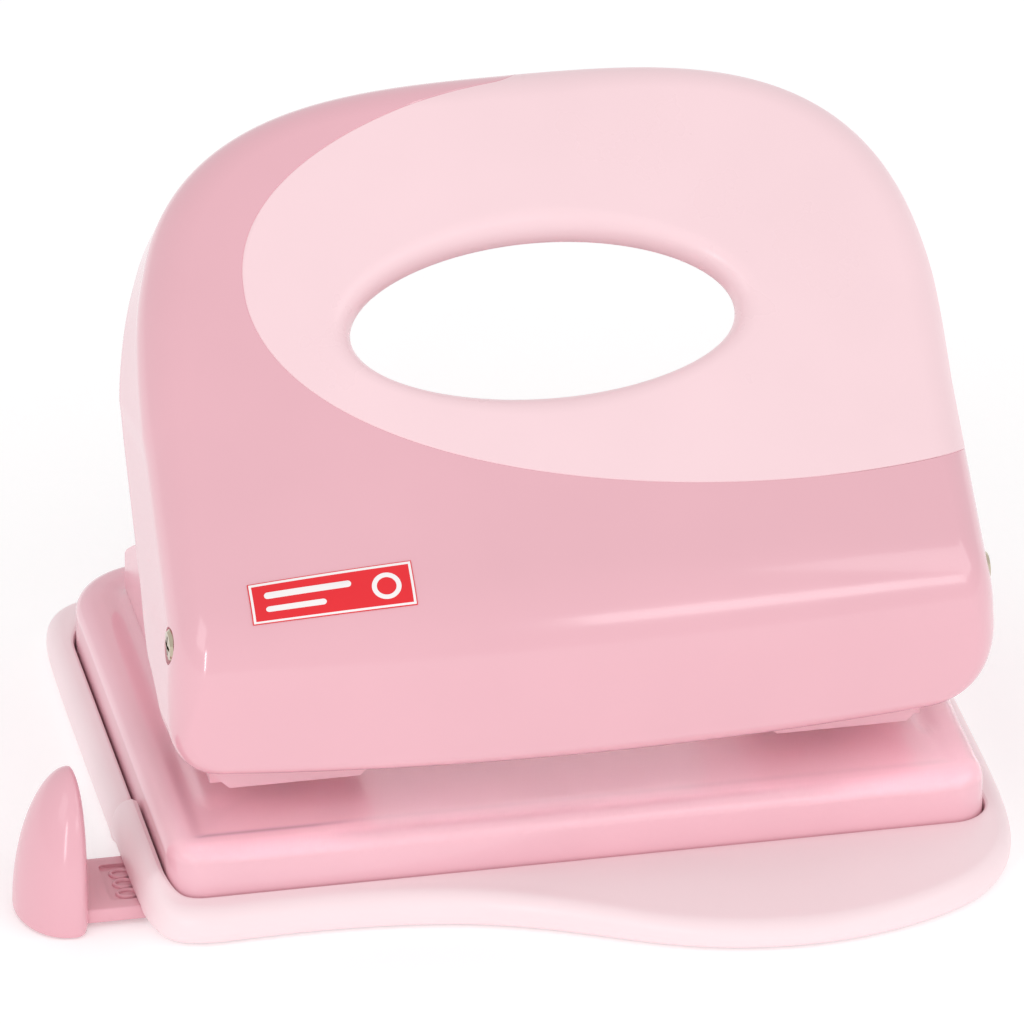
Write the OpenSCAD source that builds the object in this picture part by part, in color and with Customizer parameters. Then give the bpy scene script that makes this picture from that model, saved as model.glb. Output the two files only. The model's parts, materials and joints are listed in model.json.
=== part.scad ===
// Two-hole office punch with a moulded two-tone lever, a pair of stamped
// punch frames on a pressed base, a soft chip tray and a sliding paper guide.
// Frame: +Z up, table at Z = 0, origin below the middle of the paper throat,
// half way between the two punch pins. +Y points to the back, away from the paper.

/* [Holes] */
// Distance between the two punched holes
hole_spacing = 80; // [80:1:80]
// Diameter of a punch pin
pin_d = 5.5; // [5:0.1:5.8]
// Distance from the pins to the paper stop
paper_margin = 12; // [11:0.5:13]
// Height of the paper slot
throat_h = 4.4; // [4.3:0.1:4.8]

/* [Base] */
// Width of the pressed base plate
base_w = 119.5; // [118:0.5:121]
// Front edge of the base plate, measured forward from the pins
base_front = 24.5; // [23:0.5:26]
// Back edge of the base plate, measured back from the pins
base_back = 64; // [62:0.5:66]
// Height of the deck above the table
deck_z = 13.6; // [13.4:0.1:13.8]
// Sheet thickness of the base plate
base_t = 1.2; // [1:0.1:1.4]
// Height of the tray rim beside the base
rim_z = 6.5; // [6:0.25:7]

/* [Lever] */
// Half width of the lever at its lower edge
lever_half = 60.6; // [59:0.2:61.4]
// Length of the lever face, measured over the curve
lever_len = 110.5; // [108:0.5:113]
// Slope of the upper lever face above the table
lever_slope = 37; // [35:1:39]
// Wall thickness of the lever shell
lever_wall = 1.8; // [1.6:0.1:2]
// Height of the pivot above the table
pivot_z = 40.7; // [40:0.1:41]
// Stroke of the lever in degrees
lever_stroke = 28; // [26:1:30]

/* [Guide] */
// Width of the guide rail
rail_w = 15; // [13:0.5:16]
// Height of the end stop
stop_h = 22.4; // [20:0.2:24]

/* [Hidden] */

pink = [0.925, 0.725, 0.769];
pale = [0.984, 0.863, 0.882];
steel = [0.78, 0.78, 0.79];

hx = hole_spacing / 2;          // pin centre in X
pin_r = pin_d / 2;
arm_z = deck_z + throat_h;      // underside of the upper jaw
piv_y = -12.5;                  // pivot, in front of the pins
roll_arm = 13;                  // pivot to press roller
roll_r = 4;
roll_a = lever_stroke / 2;      // roller stands this far above the pivot at rest
roll_y = piv_y + roll_arm * cos(roll_a);
roll_z = pivot_z + roll_arm * sin(roll_a);
pin_top = roll_z - roll_r - 0.04;
pin_tip = arm_z + 0.6;
fr_w = 24;                      // width of a punch frame
fr_t = 1.5;                     // sheet of a punch frame
web_z = 30.5;                   // underside of the upper guide web
clip_z = 29.4;
clip_t = 0.8;
spr_z0 = arm_z + fr_t;
sink = 0.6;

/* ---------- rounded plates ---------- */

module rounded_rect(x0, y0, x1, y1, rf, rb) {
    union() {
        translate([x0 + rf, y0]) square([x1 - x0 - 2 * rf, (y1 - y0) / 2]);
        translate([x0, y0 + rf]) square([x1 - x0, (y1 - y0) - rf - rb]);
        translate([x0 + rb, (y0 + y1) / 2]) square([x1 - x0 - 2 * rb, (y1 - y0) / 2]);
        for (x = [x0 + rf, x1 - rf]) translate([x, y0 + rf]) circle(r = rf, $fn = 64);
        for (x = [x0 + rb, x1 - rb]) translate([x, y1 - rb]) circle(r = rb, $fn = 64);
    }
}

// block with a rolled upper edge of radius e
module rolled_block(x0, y0, x1, y1, rf, rb, z0, z1, e) {
    cx = [x0, x1];
    translate([0, 0, z0]) linear_extrude(z1 - e - z0) rounded_rect(x0, y0, x1, y1, rf, rb);
    translate([0, 0, z1 - e - 0.01]) linear_extrude(e + 0.01)
        rounded_rect(x0 + e, y0 + e, x1 - e, y1 - e, rf - e, rb - e);
    for (s = [0, 1], k = [0, 1]) {
        r = k == 0 ? rf : rb;
        x = s == 0 ? x0 + r : x1 - r;
        y = k == 0 ? y0 + r : y1 - r;
        a = s == 0 ? (k == 0 ? 180 : 90) : (k == 0 ? 270 : 0);
        translate([x, y, z1 - e]) rotate([0, 0, a]) rotate_extrude(angle = 90, $fn = 64)
            intersection() {
                translate([r - e, 0]) circle(r = e, $fn = 48);
                translate([0, -0.01]) square([r + 1, e + 1]);
            }
    }
    // straight rolled edges
    translate([x0 + rf, y0 + e, z1 - e]) rotate([0, 90, 0]) cylinder(r = e, h = x1 - x0 - 2 * rf, $fn = 48);
    translate([x0 + rb, y1 - e, z1 - e]) rotate([0, 90, 0]) cylinder(r = e, h = x1 - x0 - 2 * rb, $fn = 48);
    for (x = [x0 + e, x1 - e])
        translate([x, y0 + rf, z1 - e]) rotate([-90, 0, 0]) cylinder(r = e, h = y1 - y0 - rf - rb, $fn = 48);
}

module base_plate() {
    hw = base_w / 2;
    t = base_t;
    color(pink) difference() {
        rolled_block(-hw, -base_front, hw, base_back, 5, 12, 2, deck_z, 2.6);
        // hollow underside
        rolled_block(-hw + t, -base_front + t, hw - t, base_back - t, 5 - t, 12 - t, 0, deck_z - t, 2.6 - t);
        for (s = [-1, 1]) {
            translate([s * hx, 0, 5]) cylinder(r = 5.05, h = 12, $fn = 64);
            for (y = [24, 46]) translate([s * hx, y, 5]) cylinder(r = 1.5, h = 12, $fn = 32);
        }
        // notch over the guide channel
        translate([-hw - 2, -23.2, 0]) cube([8, 23.2, 5.6]);
    }
}

/* ---------- chip tray ---------- */

// outline of the tray rim, seen from above
tray_pts = [[-63.8, 30], [-63.8, 15], [-63.8, 0], [-63.8, -14], [-63.6, -22], [-61.4, -27.6],
            [-56, -29.6], [-48, -29.2], [-40, -29], [-32, -29.3], [-24, -30.2], [-16, -31.8],
            [-8, -34.6], [0, -38.4], [7, -42], [15, -45], [24, -46.6], [33, -46.7], [42, -45],
            [50, -42], [56, -38.2], [60.6, -32.6], [63, -25.6], [63.9, -16], [64, -4], [63.8, 14],
            [63.6, 32], [63.5, 50], [63.3, 60], [61, 66.6], [54, 69.5], [36, 69.7], [18, 69.7],
            [0, 69.7], [-18, 69.7], [-36, 69.7], [-54, 69.5], [-61, 66.6], [-63.4, 60], [-63.7, 46]];
function chaikin(p) = [for (i = [0:len(p) - 1], k = [0.25, 0.75])
    p[i] * (1 - k) + p[(i + 1) % len(p)] * k];
tray_out = chaikin(tray_pts);
tray_gap = 0.3;
// nearest point on the rounded base outline, grown by the gap
function clampv(v, a, b) = max(a, min(b, v));
function inner_pt(p) = let (
    hw = base_w / 2 + tray_gap, yf = -base_front - tray_gap, yb = base_back + tray_gap,
    r = p[1] < 20 ? 5.3 : 12.3,
    q = [clampv(p[0], -hw + r, hw - r), clampv(p[1], yf + r, yb - r)],
    d = p - q, l = max(norm(d), 0.001))
    q + d / l * r;
function hump(y) = y > 1.6 ? max(0, 1 - (y - 1.6) / 1.2) : y > -20 ? 1 : max(0, 1 - (-20 - y) / 9);
function rim_top(o, w) = rim_z - 0.2 - 0.09 * max(w - 4, 0)
    + (o[0] < -56 ? 2.4 * hump(o[1]) : 0);
// section of the rim: k = 0 outer foot ... last = foot of the inner wall
tray_k = 9;
function tray_pt(o, k) = let (
    i = inner_pt(o), d = o - i, w = norm(d), u = d / max(w, 0.001),
    zt = rim_top(o, w), e = min(3.1, w * 0.8), a = -90 + 180 * k / 6)
    k <= 6 ? let (q = i + u * (w - e + e * cos(a))) [q[0], q[1], zt / 2 + zt / 2 * sin(a)]
    : k == 7 ? [i[0] + u[0] * 0.4, i[1] + u[1] * 0.4, (zt + rim_z) / 2 + (o[0] < -56 ? 1.2 * hump(o[1]) : 0)]
    : k == 8 ? [i[0], i[1], rim_z - 0.3 + (o[0] < -56 ? 2.2 * hump(o[1]) : 0)]
    : [i[0], i[1], 1.6];
module ring_solid(rings) {
    // closed skin over stacked rings, with a fan over the first and the last
    n = len(rings[0]);
    m = len(rings);
    c0 = middle(rings[0]);
    c1 = middle(rings[m - 1]);
    polyhedron(points = concat([for (r = rings) each r], [c0, c1]), faces = concat(
        [for (i = [0:n - 1]) [n * m, i, (i + 1) % n]],
        [for (j = [0:m - 2], i = [0:n - 1]) each let (a = j * n + i, b = j * n + (i + 1) % n)
            [[a, a + n, b + n], [a, b + n, b]]],
        [for (i = [0:n - 1]) [n * m + 1, (m - 1) * n + (i + 1) % n, (m - 1) * n + i]]));
}
function total(p, i = 0) = i == len(p) - 1 ? p[i] : p[i] + total(p, i + 1);
function middle(p) = total(p) / len(p);
ch_y = -12.3;                       // middle of the guide channel
module chip_tray() {
    color(pale) difference() {
        union() {
            ring_solid([for (k = [0:tray_k]) [for (o = tray_out) tray_pt(o, k)]]);
            translate([-59, ch_y - rail_w / 2 - 1.7, 0.4]) cube([107, rail_w + 3.4, 4.2]);
        }
        // channel for the guide rail, open below between two lips
        translate([-70, ch_y - rail_w / 2 - 0.2, 0.6]) cube([116, rail_w + 0.4, 2.6]);
        translate([-70, ch_y - rail_w / 2 + 2, -1]) cube([116, rail_w - 4, 3]);
    }
}

/* ---------- punch frames ---------- */

module frame_side() {
    difference() {
        union() {
            polygon([[-15, arm_z], [paper_margin, arm_z], [paper_margin, deck_z], [55, deck_z],
                     [55, 19.5], [53, 21.2], [47, 25], [40, 28], [28, 33], [14, 38.5], [2, 42.5],
                     [piv_y + 2, pivot_z + 4.6], [piv_y - 4.8, pivot_z], [-15.5, 34], [-15, 31]]);
            translate([piv_y, pivot_z]) circle(r = 5, $fn = 48);
        }
        translate([piv_y, pivot_z]) circle(r = 3.05, $fn = 48);
        // small window near the front foot of each side
        translate([-11.2, arm_z + 3.2]) circle(r = 1.3, $fn = 24);
    }
}
module punch_frame() {
    h = fr_w / 2;
    difference() {
        union() {
            for (x = [-h, h - fr_t])
                translate([x, 0, 0]) rotate([90, 0, 90]) linear_extrude(fr_t) frame_side();
            // front plate, jaw web, pin guide web, paper stop and foot
            translate([-h, -15, arm_z]) cube([fr_w, fr_t, 12]);
            translate([-h, -15, arm_z]) cube([fr_w, paper_margin + 15, fr_t]);
            translate([-h, -6, web_z]) cube([fr_w, 14, fr_t]);
            translate([-h, paper_margin, deck_z]) cube([fr_w, fr_t, throat_h + fr_t]);
            translate([-h, paper_margin, deck_z]) cube([fr_w, 55 - paper_margin, fr_t]);
        }
        cylinder(r = pin_r + 0.05, h = 60, $fn = 48);
        for (y = [24, 46]) translate([0, y, 10]) cylinder(r = 1.5, h = 8, $fn = 32);
        translate([-h - 1, piv_y, pivot_z]) rotate([0, 90, 0]) cylinder(r = 3.05, h = fr_w + 2, $fn = 48);
        // bevelled lower front corners
        for (m = [0, 1]) mirror([m, 0, 0])
            translate([h, -16, arm_z - 0.01]) rotate([-90, 0, 0]) linear_extrude(3)
                polygon([[0.1, 0.1], [-2.6, 0.1], [0.1, -2.6]]);
    }
}
module frame_left() { color(pink) translate([-hx, 0, 0]) punch_frame(); }
module frame_right() { color(pink) translate([hx, 0, 0]) punch_frame(); }

module frame_rivets() {
    color(steel) for (s = [-1, 1], y = [24, 46]) translate([s * hx, y, 0])
        rotate_extrude($fn = 48) polygon([[0, deck_z - base_t - 1], [2.4, deck_z - base_t - 1],
            [2.4, deck_z - base_t], [1.5, deck_z - base_t], [1.5, deck_z + fr_t], [2.8, deck_z + fr_t],
            [2.4, deck_z + fr_t + 0.9], [1.4, deck_z + fr_t + 1.3], [0, deck_z + fr_t + 1.3]]);
}

module die() {
    color(steel) rotate_extrude($fn = 64) polygon([[pin_r + 0.05, deck_z], [5, deck_z],
        [5, deck_z - base_t], [7.4, deck_z - base_t], [7.4, deck_z - base_t - 1.6],
        [pin_r + 0.5, deck_z - base_t - 1.6], [pin_r + 0.5, deck_z - 2], [pin_r + 0.05, deck_z - 2]]);
}
module die_left() { translate([-hx, 0, 0]) die(); }
module die_right() { translate([hx, 0, 0]) die(); }

/* ---------- paper guide ---------- */

stop_c = -12.8;
function stop_ring(z) = let (
    s = min(z / stop_h, 0.999), f = 1 - s * s,
    h = 9.8 * pow(f, 0.5), xo = -72.4 - 8.3 * pow(f, 0.6),
    xi = -72.3 + 1.8 * pow(1 - pow(s, 5), 0.5), xe = -73.6 + 1.2 * s)
    concat([for (i = [0:15]) let (a = -90 + 180 * i / 16)
                [xe - (xe - xo) * cos(a), stop_c + h * sin(a), z]],
           [for (i = [0:11]) let (a = 90 - 180 * i / 12)
                [xe + (xi - xe) * pow(max(cos(a), 0), 0.6), stop_c + h * sin(a), z]]);
module paper_guide() {
    color(pink) difference() {
        union() {
            ring_solid([for (z = [0.3, 1.5, 4, 7, 10, 13, 15.5, 17.5, 19.2, 20.6, 21.6, 22.2])
                let (r = stop_ring(z)) [for (i = [len(r) - 1:-1:0]) r[i]]]);
            translate([-73.5, ch_y - rail_w / 2, 0.8]) cube([109.5, rail_w, 2.2]);
        }
        // recessed panel near the stop
        translate([-67, ch_y - 5.2, 2.6]) cube([7, 10.4, 1]);
    }
}

/* ---------- lever ---------- */

lv_x = 2;                 // middle of the lever
lv_y = -26;               // lower face of the lever
lv_z0 = 23.1;             // lower edge
lv_zv = 37;               // end of the upright part
lv_r = 18;                // bend between the upright part and the slope
lv_bow = 5.7;             // the face is bowed back this much at its sides
lv_s1 = lv_zv - lv_z0;
lv_ba = 90 - lever_slope;
lv_s2 = lv_s1 + lv_r * lv_ba * PI / 180;
// profile of the face: [y, z, outward y, outward z] at a run t from the lower edge
function prof(t) = let (
    a = clampv((t - lv_s1) / lv_r * 180 / PI, 0, lv_ba),
    d = max(t - lv_s2, 0),
    y = lv_y + lv_r - lv_r * cos(a) + d * cos(lever_slope),
    z = (t < lv_s1 ? lv_z0 + t : lv_zv + lv_r * sin(a)) + d * sin(lever_slope))
    [y, z, -cos(a), sin(a)];
// point of the lever: across x, along t, outward n
function lev(x, t, n) = let (
    p = prof(t), b = lv_bow * pow((x - lv_x) / 59.5, 2))
    [x, p[0] + (n - b) * p[2], p[1] + (n - b) * p[3]];
// half width of the face outline at run t
lv_ts = 58;
lv_up = lever_half - 2;

// rc is the radius of the lower corner on that side
function half_w(t, rc) = t <= 0 || t >= lever_len ? 0 :
    (t > lv_ts ? lv_up * pow(1 - pow((t - lv_ts) / (lever_len - lv_ts), 3.4), 1 / 3.4)
        : lever_half - 2 * t / lv_ts)
    - (t < rc ? rc - sqrt(rc * rc - pow(rc - t, 2)) : 0);
// finger hole and pole of the face
hole_x = 2.5;
hole_t = 70.4;
hole_a = 28.1;
hole_b = 12.6;
// the upper end of the face stands slightly to the right
function lv_side(x, t) = 1.5 * (x < lv_x ? clampv((t - 62) / 25, 0, 1) : clampv((t - 30) / 45, 0, 1));
function in_face(x, t) = t > 0 && t < lever_len
    && abs(x - lv_x - lv_side(x, t)) < half_w(t, x < lv_x ? 6.5 : 11);
function out_r(a, lo = 5, hi = 120, k = 0) = k == 26 ? lo : let (m = (lo + hi) / 2)
    in_face(hole_x + m * cos(a), hole_t + m * sin(a)) ? out_r(a, m, hi, k + 1) : out_r(a, lo, m, k + 1);
function hole_r(a) = 1 / sqrt(pow(cos(a) / hole_a, 2) + pow(sin(a) / hole_b, 2));
// rounding of the outer edge: small along the bottom, large elsewhere
function sm(x) = let (u = clampv(x, 0, 1)) u * u * (3 - 2 * u);
function edge_r(t) = 2.4 + 4 * sm((t - 0.5) / 12);
// depth and dip of the skirt behind the outline
function skirt_d(t) = lookup(t, [[0, 3], [1, 4], [6, 12], [14, 24], [24, 29], [40, 28], [60, 26], [75, 17.5], [90, 14], [112, 13]]);
function skirt_a(t) = lookup(t, [[0, 0], [6, 4], [14, 14], [24, 15], [40, 15], [60, 18], [75, 32], [90, 45], [112, 53]]);
lip_l = 0.6;              // straight part of the rolled lip
lip_r = 4;
lip_c = lip_r * PI / 2;
function face_l(a) = out_r(a) - edge_r(hole_t + out_r(a) * sin(a)) - hole_r(a) - lip_r;
// point on the section at angle a: run u from the end of the lip, depth d below the skin
// q = [hole radius, outline radius, edge radius, skirt depth, skirt dip, face length]
function sec(a) = let (h = hole_r(a), o = out_r(a), t = hole_t + o * sin(a), e = edge_r(t))
    [h, o, e, skirt_d(t), skirt_a(t), o - e - h - lip_r];
function sec_len(q) = lip_l + lip_c + q[5] + q[2] * PI / 2 + q[3] - q[2];
function at(a, r, n) = lev(hole_x + r * cos(a), hole_t + r * sin(a), n);
function sp(a, q, u, d) = let (
    u1 = u - lip_l, u2 = u1 - lip_c, u3 = u2 - q[5], u4 = u3 - q[2] * PI / 2)
    u1 < 0 ? at(a, q[0] + d, -lip_r + u1)
    : u2 < 0 ? let (b = u1 / lip_r * 180 / PI)
        at(a, q[0] + lip_r - (lip_r - d) * cos(b), -lip_r + (lip_r - d) * sin(b))
    : u3 < 0 ? at(a, q[0] + lip_r + u2, -d)
    : u4 < 0 ? let (b = u3 / q[2] * 180 / PI)
        at(a, q[1] - q[2] + (q[2] - d) * sin(b), -q[2] + (q[2] - d) * cos(b))
    : let (f = u4 / (q[3] - q[2]), p = at(a, q[1] - d, -q[2]), r = at(a, q[1] - d, 0))
        p * (1 - f) + (r + [0, q[3] * cos(q[4]), -q[3] * sin(q[4])]) * f;
inlay = 1;
// runs of the section points: lip, face, rounded edge, skirt
function runs(q, f = 7, g = 4, h = 3, z = 0) = let (
    u2 = lip_l + lip_c, u3 = u2 + q[5], u4 = u3 + q[2] * PI / 2, L = sec_len(q) - z)
    concat([for (i = [0:3]) lip_l + lip_c * i / 3], [for (i = [1:f]) u2 + q[5] * i / f],
           [for (i = [1:g]) u3 + (u4 - u3) * i / g], [for (i = [1:h]) u4 + (L - u4) * i / h]);
// directions of the sections, closer together towards the two lower corners
lv_angs = concat([for (a = [-126:5:-56]) a], [for (a = [-53:1.5:-44]) a], [for (a = [-40:5:215]) a],
                 [for (a = [218:3:222]) a], [for (a = [224:1.5:232.5]) a]);
module torus_skin(rings) {
    n = len(rings);
    m = len(rings[0]);
    polyhedron(points = [for (r = rings) each r],
        faces = [for (i = [0:n - 1], j = [0:m - 1]) each
            let (i2 = (i + 1) % n, j2 = (j + 1) % m,
                 p = i * m + j, q = i2 * m + j, r = i2 * m + j2, s = i * m + j2)
            [[p, q, r], [p, r, s]]]);
}
module lever_skin() {
    torus_skin([for (a = lv_angs) let (q = sec(a), o = runs(q), w = runs(q, 7, 3, 2), n = len(w) - 1) concat(
        [sp(a, q, 0, 0)], [for (u = o) sp(a, q, u, 0)],
        [for (i = [n:-1:3]) sp(a, q, w[i], lever_wall)], [sp(a, q, 0, lever_wall)])]);
}
// outer layer of the lever, from depth d down to the depth of the inlay
module lever_layer(d, u0) {
    torus_skin([for (a = lv_angs) let (q = sec(a), o = runs(q, z = 1.6), n = len(o) - 1) concat(
        [sp(a, q, u0, d)], [for (u = o) sp(a, q, u, d)],
        [for (i = [n:-1:0]) sp(a, q, o[i], inlay)], [sp(a, q, u0, inlay)])]);
}
// the light field, straight down through the face
function field_pt(a) = let (c = cos(a), s = sin(a), x = 70 * sign(c) * pow(abs(c), 0.87))
    s < 0 ? [70 * c, 37.5 * s - field_k * lv_bow * pow((70 * c + 30 - lv_x) / 59.5, 2)]
          : [x, (31.3 + 6 * sm((x + 29) / 12)) * pow(s, 0.87)];
field_k = 0.475; // how fast the lower border climbs as the face rolls away
module light_field() {
    translate([0, prof(hole_t)[0], prof(hole_t)[1]]) rotate([lever_slope, 0, 0]) translate([30, 8, 0]) {
        translate([0, 0, -40]) linear_extrude(60) polygon([for (i = [0:48]) field_pt(i * 3.75)]);
        multmatrix([[1, 0, 0, 0], [0, 1, -field_k, 0], [0, 0, 1, 0], [0, 0, 0, 1]])
            translate([0, 0, -40]) linear_extrude(60)
                polygon(concat([[-68, 6]], [for (i = [49:95]) field_pt(i * 3.75)], [[68, 6]]));
    }
}
module lever_shell() {
    color(pink) difference() {
        lever_skin();
        intersection() { lever_layer(-0.6, -0.6); light_field(); }
        for (s = [-1, 1]) translate([lv_x + s * 56, piv_y, pivot_z]) rotate([0, s * 90, 0]) {
            translate([0, 0, -4]) cylinder(r = 1.6, h = 12, $fn = 32);
            translate([0, 0, 2.9]) cylinder(r = 2.7, h = 8, $fn = 32);
        }
    }
}
module grip_inlay() {
    color(pale) intersection() { lever_layer(0, 0); light_field(); }
}

// sticker on the lower left of the face
module label_sticker() {
    n = 8; m = 3;
    x0 = -46.6; x1 = -23.2; t0 = 26.5; t1 = 33.5;
    low = [for (j = [0:m], i = [0:n]) lev(x0 + (x1 - x0) * i / n, t0 + (t1 - t0) * j / m + 0.15 * i / n, 0.04)];
    top = [for (j = [0:m], i = [0:n]) lev(x0 + (x1 - x0) * i / n, t0 + (t1 - t0) * j / m + 0.15 * i / n, 0.2)];
    c = (n + 1) * (m + 1);
    w = n + 1;
    rim = concat([for (i = [0:n - 1]) i], [for (j = [0:m - 1]) j * w + n],
                 [for (i = [n:-1:1]) m * w + i], [for (j = [m:-1:1]) j * w]);
    color([0.89, 0.12, 0.15]) polyhedron(points = concat(low, top), faces = concat(
        [for (j = [0:m - 1], i = [0:n - 1]) each let (p = j * w + i) [[p, p + 1, p + w + 1], [p, p + w + 1, p + w]]],
        [for (j = [0:m - 1], i = [0:n - 1]) each let (p = c + j * w + i) [[p, p + w + 1, p + 1], [p, p + w, p + w + 1]]],
        [for (k = [0:len(rim) - 1]) each let (p = rim[k], q = rim[(k + 1) % len(rim)])
            [[p, c + p, c + q], [p, c + q, q]]]));
}

/* ---------- press gear inside the lever ---------- */

dip = lever_slope - roll_a;      // roller below the slope line
module yoke_ear() {
    rx = roll_arm * cos(dip);
    ry = -roll_arm * sin(dip);
    difference() {
        union() {
            circle(r = 5, $fn = 48);
            translate([rx, ry]) circle(r = 3.6, $fn = 48);
            polygon([[-3, 4], [1.2, 5.4], [15, 5.4], [15.5, -5], [10.6, -8.4], [-2, -4.6]]);
        }
        circle(r = 3, $fn = 48);
        translate([rx, ry]) circle(r = 2, $fn = 48);
    }
}
module press_yoke() {
    color(steel) translate([0, piv_y, pivot_z]) rotate([lever_slope, 0, 0]) {
        for (s = [-1, 1], x = [-6.5, 5]) translate([s * hx + x, 0, 0])
            rotate([90, 0, 90]) linear_extrude(1.5) yoke_ear();
        translate([-46.5, 1.2, 5.3]) cube([93, 13.8, 1.2]);
    }
}
module roller() {
    color(steel) translate([0, roll_y, roll_z]) rotate([0, 90, 0]) rotate_extrude($fn = 64)
        polygon([[0, -6.5], [2, -6.5], [2, -4.9], [3.6, -4.9], [roll_r, -4.5], [roll_r, 4.5],
                 [3.6, 4.9], [2, 4.9], [2, 6.5], [0, 6.5]]);
}
module press_roller_left() { translate([-hx, 0, 0]) roller(); }
module press_roller_right() { translate([hx, 0, 0]) roller(); }

ax_l = -54.6;
ax_r = 58.6;
module pivot_axle() {
    color(steel) translate([0, piv_y, pivot_z]) rotate([0, 90, 0]) difference() {
        translate([0, 0, ax_l]) cylinder(r = 3, h = ax_r - ax_l, $fn = 64);
        translate([0, 0, ax_l - 1]) cylinder(r = 1.5, h = 7.5, $fn = 32);
        translate([0, 0, ax_r - 6.5]) cylinder(r = 1.5, h = 7.5, $fn = 32);
    }
}
module axle_spacers() {
    color([0.93, 0.93, 0.9]) translate([0, piv_y, pivot_z]) rotate([0, 90, 0])
        for (s = [[-53.6, -52.3], [52.3, 53.6]]) translate([0, 0, s[0]]) difference() {
            cylinder(r = 3.8, h = s[1] - s[0], $fn = 48);
            translate([0, 0, -1]) cylinder(r = 3, h = 20, $fn = 48);
        }
}
module axle_screw() {
    color([0.8, 0.76, 0.68]) difference() {
        rotate_extrude($fn = 48) polygon([[0, -7.6], [1.2, -7.6], [1.5, -7.2], [1.5, 0], [2.4, 0],
            [2.4, 0.5], [2, 0.9], [0, 1.05]]);
        for (a = [0, 90]) rotate([0, 0, a]) translate([-1.5, -0.3, 0.4]) cube([3, 0.6, 2]);
    }
}
module axle_screw_left() { translate([lv_x - 58.9, piv_y, pivot_z]) rotate([0, -90, 0]) axle_screw(); }
module axle_screw_right() { translate([lv_x + 58.9, piv_y, pivot_z]) rotate([0, 90, 0]) axle_screw(); }

/* ---------- punch pins ---------- */

module punch_pin() {
    color(steel) difference() {
        rotate_extrude($fn = 64) polygon([[0, pin_tip], [pin_r, pin_tip], [pin_r, clip_z],
            [2.2, clip_z], [2.2, clip_z + clip_t], [pin_r, clip_z + clip_t], [pin_r, pin_top - 0.5],
            [pin_r - 0.5, pin_top], [0, pin_top]]);
        // notched cutting end
        translate([-4, 0, pin_tip]) rotate([90, 0, 90]) linear_extrude(8)
            polygon([[-1.9, -0.1], [0, 1.1], [1.9, -0.1]]);
    }
}
module punch_pin_left() { translate([-hx, 0, 0]) punch_pin(); }
module punch_pin_right() { translate([hx, 0, 0]) punch_pin(); }

module pin_clip() {
    color(steel) translate([0, 0, clip_z]) linear_extrude(clip_t) difference() {
        circle(r = 4.3, $fn = 48);
        circle(r = 2.2, $fn = 48);
        translate([0, 1.2]) square([3.4, 8], center = true);
        translate([-1.7, 0]) square([3.4, 6]);
    }
}
module pin_clip_left() { translate([-hx, 0, 0]) pin_clip(); }
module pin_clip_right() { translate([hx, 0, 0]) pin_clip(); }

spr_n = 5;
spr_r = 3.45;
spr_w = 0.3;
module return_spring() {
    steps = 20 * spr_n;
    z0 = spr_z0 + spr_w + 0.02;
    z1 = clip_z - spr_w - 0.02;
    rings = [for (i = [0:steps]) let (a = 360 * i / 20, s = i / steps,
                f = s < 0.15 ? s * s / 0.255 : s > 0.85 ? 1 - pow(1 - s, 2) / 0.255 : (s - 0.075) / 0.85,
                z = z0 + (z1 - z0) * f)
        [for (k = [0:5]) let (b = 60 * k)
            [(spr_r + spr_w * cos(b)) * cos(a), (spr_r + spr_w * cos(b)) * sin(a), z + spr_w * sin(b)]]];
    color(steel) ring_solid(rings);
}
module return_spring_left() { translate([-hx, 0, 0]) return_spring(); }
module return_spring_right() { translate([hx, 0, 0]) return_spring(); }

base_plate();
chip_tray();
frame_left();
frame_right();
frame_rivets();
die_left();
die_right();
paper_guide();
lever_shell();
grip_inlay();
press_yoke();
press_roller_left();
press_roller_right();
pivot_axle();
axle_screw_left();
axle_screw_right();
axle_spacers();
punch_pin_left();
punch_pin_right();
pin_clip_left();
pin_clip_right();
return_spring_left();
return_spring_right();
label_sticker();
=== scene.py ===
"""Looks of the two-hole punch: moulded lever, light grip inlay, pressed base, soft tray and guide.

All lengths below are millimetres in the row frame until make() turns them into metres.
"""

import json
import math

import bmesh
import bpy
import numpy as np
from mathutils import Matrix, Vector


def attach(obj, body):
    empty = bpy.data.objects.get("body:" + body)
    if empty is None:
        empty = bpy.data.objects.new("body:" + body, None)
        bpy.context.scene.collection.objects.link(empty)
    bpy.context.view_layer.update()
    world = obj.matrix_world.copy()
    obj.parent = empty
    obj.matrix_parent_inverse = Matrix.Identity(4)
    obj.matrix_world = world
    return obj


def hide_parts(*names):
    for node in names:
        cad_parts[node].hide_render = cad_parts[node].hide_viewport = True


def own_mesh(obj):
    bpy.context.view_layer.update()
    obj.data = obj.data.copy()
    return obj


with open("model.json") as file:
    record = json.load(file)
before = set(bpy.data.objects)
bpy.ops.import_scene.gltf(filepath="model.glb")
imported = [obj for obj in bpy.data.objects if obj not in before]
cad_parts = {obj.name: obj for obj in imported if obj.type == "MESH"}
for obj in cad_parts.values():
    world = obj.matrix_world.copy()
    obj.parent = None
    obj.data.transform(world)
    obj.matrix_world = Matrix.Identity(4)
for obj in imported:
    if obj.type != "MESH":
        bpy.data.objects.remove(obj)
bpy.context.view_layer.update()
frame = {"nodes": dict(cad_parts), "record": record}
scene = bpy.context.scene
pi = math.pi


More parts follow.
